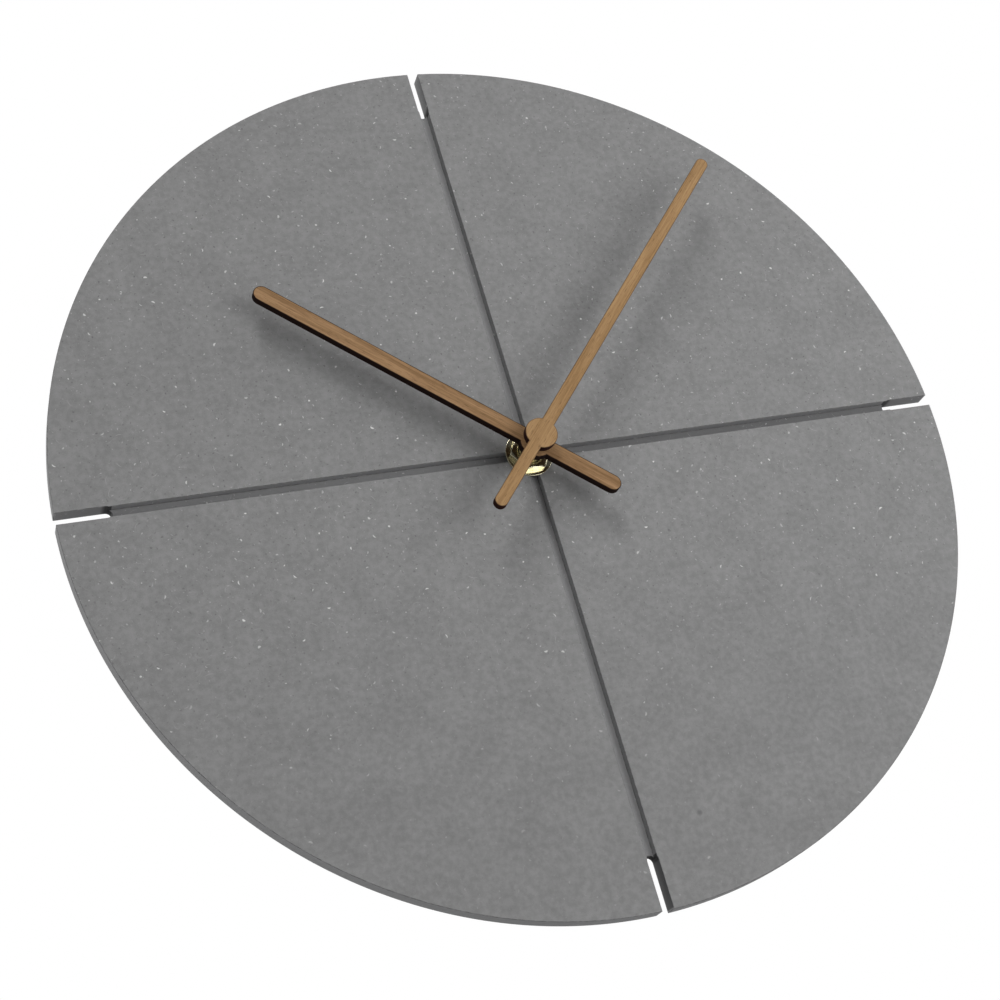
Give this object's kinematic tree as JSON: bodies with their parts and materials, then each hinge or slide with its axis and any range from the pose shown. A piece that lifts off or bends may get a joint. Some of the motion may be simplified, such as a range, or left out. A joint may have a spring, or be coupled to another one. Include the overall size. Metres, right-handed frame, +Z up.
{
  "type": "wall clock",
  "caption": "Round wall clock: grey fibreboard disc with crossed grooves and rim slots, plain wooden hands on a brass post, and a battery quartz movement behind it.",
  "frame": {"origin": "on the axis of the hands, in the plane of the wall that the movement's back rests on", "axes": "+Z up to twelve o'clock, +X to three o'clock, +Y into the wall"},
  "size_m": [0.3, 0.0389, 0.3],
  "materials": {
    "fibreboard": "matt, grey through-dyed fibreboard with pale flecks",
    "hand_wood": "fine straight grain, waxed, laser-darkened edges",
    "brass": "polished",
    "rubber": "matt",
    "steel": "zinc-plated",
    "case_plastic": "fine spark-eroded texture",
    "knob_plastic": "satin",
    "wheel_plastic": "satin, natural acetal",
    "plate_plastic": "satin",
    "magnet": "matt grey sintered",
    "core_iron": "annealed nickel iron",
    "bobbin_plastic": "satin",
    "copper_wire": "enamelled copper, satin",
    "board": "green solder mask",
    "resin": "cured resin, satin",
    "can_metal": "satin",
    "contact_metal": "nickel-plated",
    "cell_wrap": "printed sleeve, plain bands",
    "cell_metal": "nickel-plated"
  },
  "bodies": {
    "clock_body": {"dial": "fibreboard", "brass_washer": "brass", "hex_nut": "brass", "threaded_post": "brass", "rubber_washer": "rubber", "hanger": "steel", "case_front": "case_plastic", "case_back": "case_plastic", "wheel_plate": "plate_plastic", "stator": "core_iron", "coil_core": "core_iron", "coil_bobbin": "bobbin_plastic", "coil_winding": "copper_wire", "circuit_board": "board", "timing_crystal": "can_metal", "controller_chip": "resin", "contact_positive": "contact_metal", "contact_negative": "contact_metal"},
    "minute_hand_group": {"minute_hand": "hand_wood", "minute_hand_collet": "brass", "minute_arbor": "brass"},
    "hour_hand_group": {"hour_hand": "hand_wood", "hour_hand_collet": "brass", "hour_wheel": "wheel_plastic"},
    "minute_wheel_group": {"minute_wheel": "wheel_plastic"},
    "knob_group": {"setting_knob": "knob_plastic"},
    "centre_wheel_group": {"centre_wheel": "wheel_plastic"},
    "third_wheel_group": {"third_wheel": "wheel_plastic"},
    "seconds_group": {"seconds_wheel": "wheel_plastic", "seconds_arbor": "steel"},
    "intermediate_group": {"intermediate_wheel": "wheel_plastic"},
    "rotor_group": {"rotor_pinion": "wheel_plastic", "rotor_magnet": "magnet"},
    "cell_group": {"cell_can": "cell_wrap", "cell_positive_cap": "cell_metal", "cell_negative_cap": "cell_metal"}
  },
  "joints": [
    {"name": "minute_hand_spin", "type": "hinge", "parent": "clock_body", "child": "minute_hand_group", "pos_m": [0, -0.02, 0], "axis": [0, 1, 0], "continuous": true},
    {"name": "hour_hand_spin", "type": "hinge", "parent": "clock_body", "child": "hour_hand_group", "pos_m": [0, -0.02, 0], "axis": [0, 1, 0], "continuous": true},
    {"name": "minute_wheel_spin", "type": "hinge", "parent": "clock_body", "child": "minute_wheel_group", "pos_m": [0.003, -0.01125, 0.0052], "axis": [0, 1, 0], "continuous": true},
    {"name": "knob_spin", "type": "hinge", "parent": "clock_body", "child": "knob_group", "pos_m": [0.006, -0.006, 0.01039], "axis": [0, 1, 0], "continuous": true},
    {"name": "intermediate_spin", "type": "hinge", "parent": "clock_body", "child": "intermediate_group", "pos_m": [-0.00822, -0.004, -0.00299], "axis": [0, 1, 0], "continuous": true},
    {"name": "rotor_spin", "type": "hinge", "parent": "clock_body", "child": "rotor_group", "pos_m": [-0.01093, -0.004, 0.00445], "axis": [0, 1, 0], "continuous": true},
    {"name": "seconds_spin", "type": "hinge", "parent": "clock_body", "child": "seconds_group", "pos_m": [0, -0.005, 0], "axis": [0, 1, 0], "continuous": true},
    {"name": "third_wheel_spin", "type": "hinge", "parent": "clock_body", "child": "third_wheel_group", "pos_m": [0.00821, -0.006, -0.0022], "axis": [0, 1, 0], "continuous": true},
    {"name": "centre_wheel_spin", "type": "hinge", "parent": "clock_body", "child": "centre_wheel_group", "pos_m": [0, -0.008, 0], "axis": [0, 1, 0], "continuous": true},
    {"name": "cell_slide", "type": "slide", "parent": "clock_body", "child": "cell_group", "axis": [0, 1, 0], "range_m": [0, 0.03]}
  ],
  "couplings": [
    {"joint": "hour_hand_spin", "follows": "minute_hand_spin", "ratio": 0.083333},
    {"joint": "minute_wheel_spin", "follows": "minute_hand_spin", "ratio": -0.33333},
    {"joint": "knob_spin", "follows": "minute_hand_spin", "ratio": 1},
    {"joint": "rotor_spin", "follows": "intermediate_spin", "ratio": -5},
    {"joint": "seconds_spin", "follows": "intermediate_spin", "ratio": -0.16667},
    {"joint": "third_wheel_spin", "follows": "intermediate_spin", "ratio": 0.022222},
    {"joint": "centre_wheel_spin", "follows": "intermediate_spin", "ratio": -0.0027778}
  ]
}
